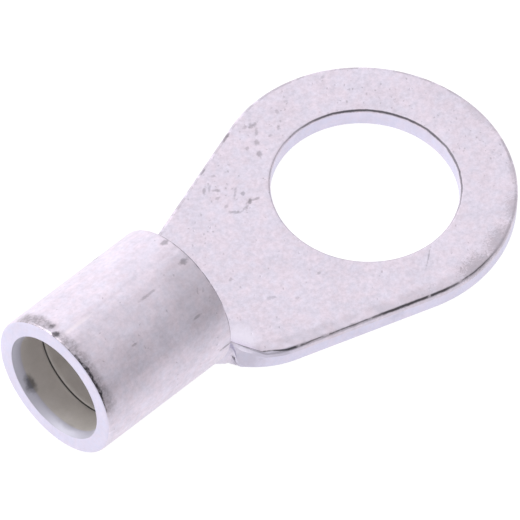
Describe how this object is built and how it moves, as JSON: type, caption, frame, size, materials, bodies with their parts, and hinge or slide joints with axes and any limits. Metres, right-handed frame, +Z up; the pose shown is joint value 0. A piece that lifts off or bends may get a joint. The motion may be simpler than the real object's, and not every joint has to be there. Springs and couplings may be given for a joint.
{
  "type": "ring terminal",
  "caption": "Uninsulated ring terminal: tapering sheet palm with a stud hole, curled into a rolled, brazed crimp barrel for a stranded wire.",
  "frame": {"origin": "centre of the stud hole on the palm's seating face", "axes": "+Z up through the stud hole, away from the seating face; the barrel lies along -X with its mouth at the far end; Y across the palm"},
  "size_m": [0.0405, 0.0208, 0.0106],
  "materials": {
    "tinned_copper": "matt tin plating on copper, mottled and lightly pitted"
  },
  "bodies": {
    "root": {"terminal": "tinned_copper"}
  },
  "joints": []
}
